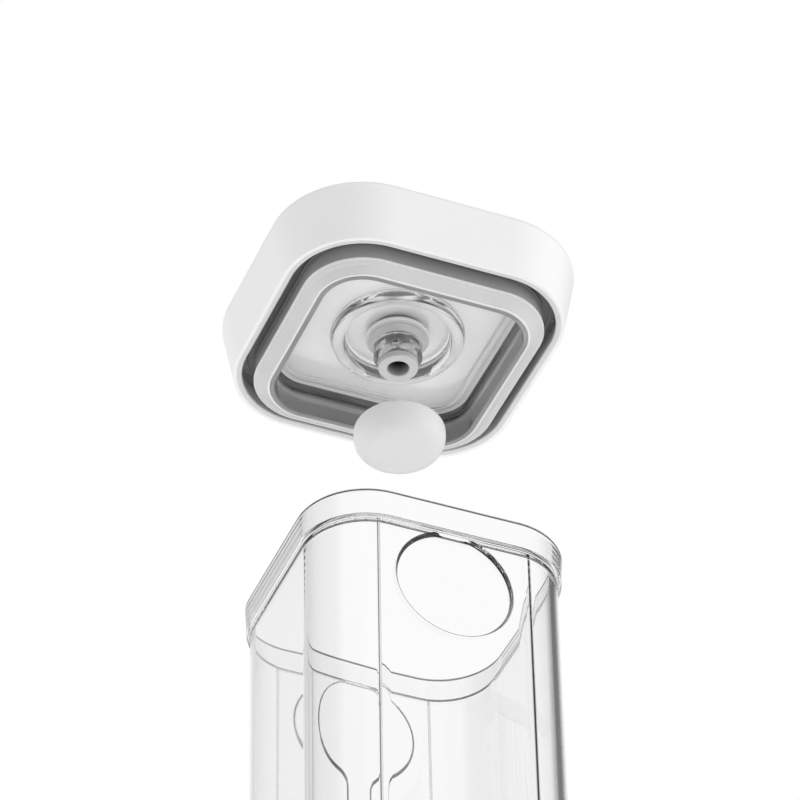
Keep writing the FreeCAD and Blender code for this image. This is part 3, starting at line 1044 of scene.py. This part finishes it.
@dataclass
class Nozzle:
    """Suction nozzle under the lid: soft grommet, milky barrel with a snap tab, and grey tip.

    skirt is the height of the skirt's lower edge above the ground, and the other heights are above it.
    """
    skirt: float
    air_gap: float = 0.08
    bore: float = 5.9
    waist: float = 6.7
    barrel_radius: float = 8.7
    barrel_top: float = 2.2
    barrel_rim: float = 1.0
    barrel_neck: float = 8.35
    shoulder: float = -3.3
    shoulder_round: float = 2.0
    groove_width: float = 0.2
    groove_slope: float = 0.1
    tube_bore: float = 4.4
    tube_top: float = 13.0
    tab_width: float = 2.4
    tab_low: float = -3.7
    tab_high: float = -1.9
    tab_turn: float = -28.0
    tab_depth: float = 0.7
    tab_proud: float = 0.15
    tab_bevel: float = 0.25
    tab_face: float = 0.1
    tab_steps: int = 4
    neck: float = 7.7
    neck_round: float = 0.5
    neck_rise: float = 0.1
    head: float = 9.1
    head_top: float = 11.8
    flange: float = 11.4
    flange_low: float = 5.3
    flange_high: float = 6.6
    flange_round: float = 0.35
    flange_rim: float = 1.1
    rim_low: float = 1.0
    rim_high: float = 0.5
    rim_slope: float = 0.1
    foot_inset: float = 0.1
    well_floor: float = 8.8
    well_top: float = 10.6
    tip_end: float = -8.3
    tip_top: float = -5.6
    tip_radius: float = 7.1
    tip_bore: float = 3.85
    tip_round: float = 0.6
    spigot: float = 5.1
    spigot_top: float = -0.8
    soft_round: float = 0.3
    bead_round: float = 0.25
    edge_round: float = 0.2
    step_round: float = 0.15

    def build(self) -> None:
        """Make the nozzle's pieces."""
        self.barrel()
        self.snap_tab()
        self.grommet()
        self.tip()

    def barrel(self) -> None:
        """Make the stepped barrel with its tube, rim bead and groove."""
        groove = self.barrel_top - self.barrel_rim
        self.turn("nozzle_barrel", MILKY_STYRENE, "clear_plate_plastic", [
            (self.spigot, self.tip_top),
            (self.tip_radius, self.tip_top, self.edge_round),
            (self.barrel_radius, self.shoulder, self.shoulder_round),
            (self.barrel_radius, groove - self.groove_width - self.groove_slope, self.step_round),
            (self.barrel_neck, groove - self.groove_width, FINE_ROUND),
            (self.barrel_neck, groove, FINE_ROUND),
            (self.barrel_radius, groove + self.groove_slope, self.bead_round),
            (self.barrel_radius, self.barrel_top, self.soft_round),
            (self.bore, self.barrel_top),
            (self.bore, self.tube_top),
            (self.tube_bore, self.tube_top),
            (self.tube_bore, self.spigot_top),
            (self.spigot, self.spigot_top),
        ])

    def grommet(self) -> None:
        """Make the soft grommet with its stepped rim, neck and head."""
        gap, step = self.air_gap, self.flange - self.flange_rim
        seat = self.turn("valve_grommet", GREY_SILICONE, "grey_silicone", [
            (self.bore + gap, self.barrel_top + gap, FINE_ROUND),
            (self.barrel_radius - self.foot_inset, self.barrel_top + gap, self.soft_round),
            (step, self.flange_low - self.rim_low, self.step_round),
            (step + self.rim_slope, self.flange_low - self.rim_high, self.step_round),
            (self.flange, self.flange_low, self.flange_round),
            (self.flange, self.flange_high, self.flange_round),
            (self.neck, self.flange_high + self.neck_rise, self.neck_round),
            (self.neck, self.well_floor - gap, self.edge_round),
            (self.waist - gap, self.well_floor - gap),
            (self.waist - gap, self.well_top + gap),
            (self.head, self.well_top + gap),
            (self.head, self.head_top, self.soft_round),
            (self.bore + gap, self.head_top),
        ])
        # the grommet's outer rim is coloured near white: painted highlight
        rim = self.flange - self.flange_rim / 2
        change_faces(seat, PAINTED_HIGHLIGHT_SILICONE, lambda middle, normal: middle.xy.length > rim)

    def tip(self) -> None:
        """Make the grey tip with its suction hole and the spigot that holds it in the barrel."""
        gap = self.air_gap
        piece = self.turn("nozzle_tip", GREY_ACETAL, "light_grey_plastic", [
            (self.tip_bore, self.tip_end, self.tip_round),
            (self.tip_radius, self.tip_end, self.tip_round),
            (self.tip_radius, self.tip_top - gap, self.edge_round),
            (self.spigot - gap, self.tip_top - gap),
            (self.spigot - gap, self.spigot_top - gap),
            (self.tip_bore, self.spigot_top - gap),
        ])
        # the bore is painted dark further in: painted shade
        change_faces(piece, BORE_ACETAL, lambda middle, normal: middle.xy.length < self.tip_bore + gap)

    def snap_tab(self) -> None:
        """Make the small tab that holds the tip in the barrel, curved like the barrel's wall."""
        wall, steps = self.barrel_radius, self.tab_steps
        middle = math.radians(self.tab_turn - 90)
        reach = self.tab_width / 2 / wall
        points, faces = [], []
        rings = ((0.0, wall - self.tab_depth), (0.0, wall), (self.tab_bevel, wall + self.tab_proud))
        for inset, radius in rings:
            shrink = 1 - 2 * inset / self.tab_width
            low, high = self.tab_low + inset, self.tab_high - inset
            angles = [middle + reach * shrink * (2 * i / steps - 1) for i in range(steps + 1)]
            for z, row in ((low, angles), (high, angles[::-1])):
                points += [Vector((radius * math.cos(a), radius * math.sin(a), z)) for a in row]
        count = 2 * (steps + 1)
        for ring in range(len(rings) - 1):
            for step in range(count):
                after = (step + 1) % count
                faces.append((ring * count + step, ring * count + after,
                              (ring + 1) * count + after, (ring + 1) * count + step))
        for ring in (0, len(rings) - 1):
            for step in range(steps):
                far = count - 1 - step
                faces.append(tuple(ring * count + i for i in (step, step + 1, far - 1, far)))
        tab = make_piece("snap_tab", points, faces, GREY_ACETAL, "lid",
                         self.skirt, False)
        # the tab's outer face is coloured dark grey: painted shade
        change_faces(tab, PAINTED_SHADE_ACETAL, lambda place, normal: place.xy.length > wall + self.tab_face)

    def turn(self, name: str, finish: Finish, slot: str, corners: Corners) -> bpy.types.Object:
        """Turn one piece about the axis.

        Args:
            name: the CAD node that it stands for.
            finish: what it is made of.
            slot: not used.
            corners: its section.

        Returns:
            The new object.
        """
        rows = [(half, z, Route.ROUND) for half, z in filleted(corners)]
        points, faces = Sweep().closed_ring(rows)
        return make_piece(name, points, faces, finish, "lid", self.skirt)


@dataclass
class Valve:
    """Vented seat and its flap in the pump dock."""
    seat: str = "valve_seat"
    flap: str = "valve_flap"

    def build(self) -> None:
        """Dress the seat and the flap."""
        dress_node(self.seat, GREY_ACETAL)
        dress_node(self.flap, WHITE_SILICONE)


@dataclass
class NozzleCap:
    """Silicone cap that plugs over the nozzle."""
    cap: str = "nozzle_cap"

    def build(self) -> None:
        """Dress the cap."""
        dress_node(self.cap, WHITE_SILICONE)


@dataclass
class Studio:
    """Camera at the photograph's angle, a small pale plinth and soft light.

    Directions and angles of the light are turned so that Y points away from the camera.
    """
    azimuth: float = -22.76
    elevation: float = -38.38
    roll: float = -1.13
    distance: float = 1350.5
    clip_far_m: float = 20.0
    aim_height: float = 200.0
    aim_pixel: tuple[float, float] = (402.56, 588.2)
    frame_pixels: float = 800.0
    focal_pixels: float = 4000.0
    sensor: float = 36.0
    plinth_radius: float = 100.0
    plinth_rings: tuple[tuple[float, float], ...] = ((0.97, -12.0), (1.0, -10.8), (1.0, -1.0), (0.99, 0.0))
    plinth_steps: int = 96
    light_bounces: int = 24
    # brightness across, from the left at 0 to the right at 1
    side_flags: tuple[tuple[float, float], ...] = (
        (0.0, 0.9), (0.2, 0.8), (0.25, 0.68), (0.3, 0.74), (0.37, 0.88), (0.43, 1.0), (0.63, 1.0),
        (0.72, 0.12), (0.82, 0.2), (0.95, 0.9))
    side_flags_end: tuple[float, float] = (0.2, -0.2)
    # brightness by degrees from level ahead of the camera, up and over to level behind it
    bands: tuple[tuple[float, float], ...] = (
        (-180, 1.0), (-75, 0.95), (-34, 0.9), (-26, 0.08), (28, 0.08), (33, 1.0), (47, 1.0), (55, 0.06),
        (110, 0.06), (122, 1.0), (180, 1.0))
    bands_end: tuple[float, float] = (0.45, 0.65)
    fill_level: float = 1.49
    fill_slope: tuple[float, float, float] = (-0.237, -0.917, -0.268)
    fill_top: float = 1.52
    roof_from: tuple[float, float, float] = (0.0, 0.0, 1.0)
    roof_range: tuple[float, float] = (0.6, 1.0)
    roof_level: float = 0.6
    shade_from: tuple[float, float, float] = (-0.38, -0.9, -0.2)
    shade_range: tuple[float, float] = (0.6, 0.95)
    shade_level: float = 0.06
    corner_from: tuple[float, float, float] = (-0.78, -0.1, 0.62)
    corner_range: tuple[float, float] = (0.8, 0.93)
    corner_level: float = 0.05
    floor_range: tuple[float, float] = (0.0, -0.12)
    first_bounce: float = 0.5

    def build(self) -> None:
        """Place the camera, the plinth and the backdrop."""
        self.camera()
        self.plinth()
        self.backdrop()

    def camera(self) -> None:
        """Place the camera so that the middle of the rim falls where the photograph has it."""
        az, el, roll = (math.radians(v) for v in (self.azimuth, self.elevation, self.roll))
        back = Vector((math.sin(az) * math.cos(el), -math.cos(az) * math.cos(el), math.sin(el)))
        ahead = -back
        right = ahead.cross(Vector((0, 0, 1))).normalized()
        up = right.cross(ahead)
        rolled_right = right * math.cos(roll) + up * math.sin(roll)
        rolled_up = up * math.cos(roll) - right * math.sin(roll)
        middle = self.frame_pixels / 2
        off_x = (self.aim_pixel[0] - middle) / self.focal_pixels
        off_y = (middle - self.aim_pixel[1]) / self.focal_pixels
        sight = (rolled_right * off_x + rolled_up * off_y + ahead).normalized()
        turn = sight.rotation_difference(ahead).to_matrix()
        axes = Matrix((turn @ rolled_right, turn @ rolled_up, turn @ back)).transposed().to_4x4()
        spot = (Vector((0, 0, self.aim_height)) + back * self.distance) * MM
        data = bpy.data.cameras.new("photo_camera")
        data.sensor_width = self.sensor
        data.lens = self.sensor * self.focal_pixels / self.frame_pixels
        data.clip_end = self.clip_far_m
        eye = bpy.data.objects.new("photo_camera", data)
        bpy.context.scene.collection.objects.link(eye)
        eye.matrix_world = Matrix.Translation(spot) @ axes
        bpy.context.scene.camera = eye

    def plinth(self) -> None:
        """Make the small pale round floor that the container stands on."""
        count, rings = self.plinth_steps, self.plinth_rings
        points, faces = [], []
        for share, z in rings:
            for step in range(count):
                angle = 2 * math.pi * step / count
                reach = self.plinth_radius * share
                points.append((reach * math.cos(angle) * MM, reach * math.sin(angle) * MM, z * MM))
        for ring in range(len(rings) - 1):
            for step in range(count):
                a, b = ring * count + step, ring * count + (step + 1) % count
                faces.append((a, b, b + count, a + count))
        faces.append(tuple(range(count))[::-1])
        faces.append(tuple(range((len(rings) - 1) * count, len(rings) * count)))
        mesh = bpy.data.meshes.new("plinth")
        mesh.from_pydata(points, [], faces)
        floor = bpy.data.objects.new("plinth", mesh)
        bpy.context.scene.collection.objects.link(floor)
        mesh.materials.append(PALE_BOARD.material())

    def fill_ramp(self, ramp: bpy.types.Node, stops: tuple[tuple[float, float], ...]) -> None:
        """Set a ramp's grey stops.

        Args:
            ramp: the ramp node.
            stops: position and brightness of each stop, in order.
        """
        elements = ramp.color_ramp.elements
        while len(elements) < len(stops):
            elements.new(0.5)
        for element, (at, value) in zip(elements, stops):
            element.position = at
            element.color = (value, value, value, 1.0)

    def round_flag(self, tree: bpy.types.NodeTree, turned: bpy.types.Node,
                   middle: tuple[float, float, float], span: tuple[float, float],
                   level: float) -> bpy.types.Node:
        """Add a round dark flag with a soft edge.

        Args:
            tree: the surround's nodes.
            turned: the node that gives directions turned to the camera's side.
            middle: direction of the flag's middle.
            span: cosines of the angles at which it starts and is full.
            level: brightness left at its middle.

        Returns:
            The node that gives the share of light that the flag leaves.
        """
        toward = add_node(tree, "ShaderNodeVectorMath",
                          {"operation": "DOT_PRODUCT", 1: Vector(middle).normalized()},
                          {0: turned.outputs[0]})
        return add_node(tree, "ShaderNodeMapRange",
                        {"From Min": span[0], "From Max": span[1], "To Min": 1.0, "To Max": level},
                        {"Value": toward.outputs["Value"]})

    def sharp_light(self, tree: bpy.types.NodeTree, turned: bpy.types.Node,
                    parts: bpy.types.Node) -> bpy.types.Node:
        """Make what reflections and bent rays meet: bright and dark parts that draw the plastic's edges.

        Args:
            tree: the surround's nodes.
            turned: the node that gives directions turned to the camera's side.
            parts: the node that gives their X, Y and Z.

        Returns:
            The node that gives the brightness.
        """
        across = add_node(tree, "ShaderNodeMapRange", {"From Min": -1.0, "From Max": 1.0},
                          {"Value": parts.outputs["X"]})
        flags = add_node(tree, "ShaderNodeValToRGB", {}, {"Fac": across.outputs[0]})
        self.fill_ramp(flags, self.side_flags)
        angle = add_node(tree, "ShaderNodeMath", {"operation": "ARCTAN2"},
                         {0: parts.outputs["Z"], 1: parts.outputs["Y"]})
        round_share = add_node(tree, "ShaderNodeMapRange", {"From Min": -math.pi, "From Max": math.pi},
                               {"Value": angle.outputs[0]})
        bands = add_node(tree, "ShaderNodeValToRGB", {}, {"Fac": round_share.outputs[0]})
        self.fill_ramp(bands, tuple((0.5 + degrees / 360, value) for degrees, value in self.bands))
        sideways = add_node(tree, "ShaderNodeMath", {"operation": "ABSOLUTE"}, {0: parts.outputs["X"]})
        away = add_node(tree, "ShaderNodeMapRange",
                        {"From Min": self.bands_end[0], "From Max": self.bands_end[1]},
                        {"Value": sideways.outputs[0]})
        behind = add_node(tree, "ShaderNodeMapRange",
                          {"From Min": self.side_flags_end[0], "From Max": self.side_flags_end[1]},
                          {"Value": parts.outputs["Y"]})
        ahead = add_node(tree, "ShaderNodeMix", TO_WHITE, {0: away.outputs[0], 6: bands.outputs[0]})
        beside = add_node(tree, "ShaderNodeMix", TO_WHITE, {0: behind.outputs[0], 6: flags.outputs[0]})
        sharp = add_node(tree, "ShaderNodeMix", TIMES, {6: beside.outputs[2], 7: ahead.outputs[2]})
        corner = self.round_flag(tree, turned, self.corner_from, self.corner_range, self.corner_level)
        return add_node(tree, "ShaderNodeMix", TIMES, {6: sharp.outputs[2], 7: corner.outputs[0]})

    def fill_light(self, tree: bpy.types.NodeTree, turned: bpy.types.Node) -> bpy.types.Node:
        """Make what matte surfaces meet: an even slope of light, weaker from straight above.

        Args:
            tree: the surround's nodes.
            turned: the node that gives directions turned to the camera's side.

        Returns:
            The node that gives the brightness.
        """
        level = add_node(tree, "ShaderNodeVectorMath", {"operation": "DOT_PRODUCT", 1: self.fill_slope},
                         {0: turned.outputs[0]})
        sloped = add_node(tree, "ShaderNodeMath", {"operation": "ADD", 1: self.fill_level},
                          {0: level.outputs["Value"]})
        fill = add_node(tree, "ShaderNodeMath", {"operation": "MINIMUM", 1: self.fill_top},
                        {0: sloped.outputs[0]})
        roof = self.round_flag(tree, turned, self.roof_from, self.roof_range, self.roof_level)
        return add_node(tree, "ShaderNodeMath", {"operation": "MULTIPLY"},
                        {0: fill.outputs[0], 1: roof.outputs[0]})

    def backdrop(self) -> None:
        """Light the scene with a white surround that has darker parts for the clear plastic's edges.

        Light that only passed through clear plastic on its way down meets white, so from above the
        container looks clear.
        """
        scene = bpy.context.scene
        scene.view_settings.view_transform = "Standard"
        scene.cycles.blur_glossy = 0.0
        for kind in ("max_bounces", "transmission_bounces", "glossy_bounces"):
            setattr(scene.cycles, kind, self.light_bounces)
        world = bpy.data.worlds.new("studio")
        scene.world = world
        world.use_nodes = True
        tree = world.node_tree
        place = add_node(tree, "ShaderNodeTexCoord")
        turned = add_node(tree, "ShaderNodeVectorRotate",
                          {"rotation_type": "Z_AXIS", "Angle": -math.radians(self.azimuth)},
                          {"Vector": place.outputs["Generated"]})
        parts = add_node(tree, "ShaderNodeSeparateXYZ", {}, {0: turned.outputs[0]})
        path = add_node(tree, "ShaderNodeLightPath")
        turns = add_node(tree, "ShaderNodeMath", {"operation": "ADD"},
                         {0: path.outputs["Glossy Depth"], 1: path.outputs["Diffuse Depth"]})
        straight = add_node(tree, "ShaderNodeMath", {"operation": "SUBTRACT", "use_clamp": True},
                            {0: path.outputs["Is Transmission Ray"], 1: turns.outputs[0]})
        downward = add_node(tree, "ShaderNodeMapRange",
                            {"From Min": self.floor_range[0], "From Max": self.floor_range[1]},
                            {"Value": parts.outputs["Z"]})
        floor = add_node(tree, "ShaderNodeMath", {"operation": "MULTIPLY"},
                         {0: straight.outputs[0], 1: downward.outputs[0]})
        sharp = add_node(tree, "ShaderNodeMix", TO_WHITE,
                         {0: floor.outputs[0], 6: self.sharp_light(tree, turned, parts).outputs[2]})
        bounced = add_node(tree, "ShaderNodeMath", {"operation": "GREATER_THAN", 1: self.first_bounce},
                           {0: path.outputs["Diffuse Depth"]})
        soft = add_node(tree, "ShaderNodeMix", {"data_type": "RGBA"},
                        {0: bounced.outputs[0], 6: sharp.outputs[2],
                         7: self.fill_light(tree, turned).outputs[0]})
        shade = self.round_flag(tree, turned, self.shade_from, self.shade_range, self.shade_level)
        kept = add_node(tree, "ShaderNodeMath", {"operation": "MAXIMUM"},
                        {0: shade.outputs[0], 1: floor.outputs[0]})
        shaded = add_node(tree, "ShaderNodeMix", TIMES, {6: soft.outputs[2], 7: kept.outputs[0]})
        seen = add_node(tree, "ShaderNodeMix", TO_WHITE,
                        {0: path.outputs["Is Camera Ray"], 6: shaded.outputs[2]})
        tree.links.new(seen.outputs[2], tree.nodes["Background"].inputs["Color"])


def main() -> None:
    """Build the scene and report each piece."""
    logging.basicConfig(level=logging.INFO, format="%(message)s")
    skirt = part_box("lid_shell")[0].z / MM
    Container().build()
    Lid(skirt).build()
    Nozzle(skirt).build()
    Valve().build()
    NozzleCap().build()
    Studio().build()


if __name__ == "__main__":
    main()
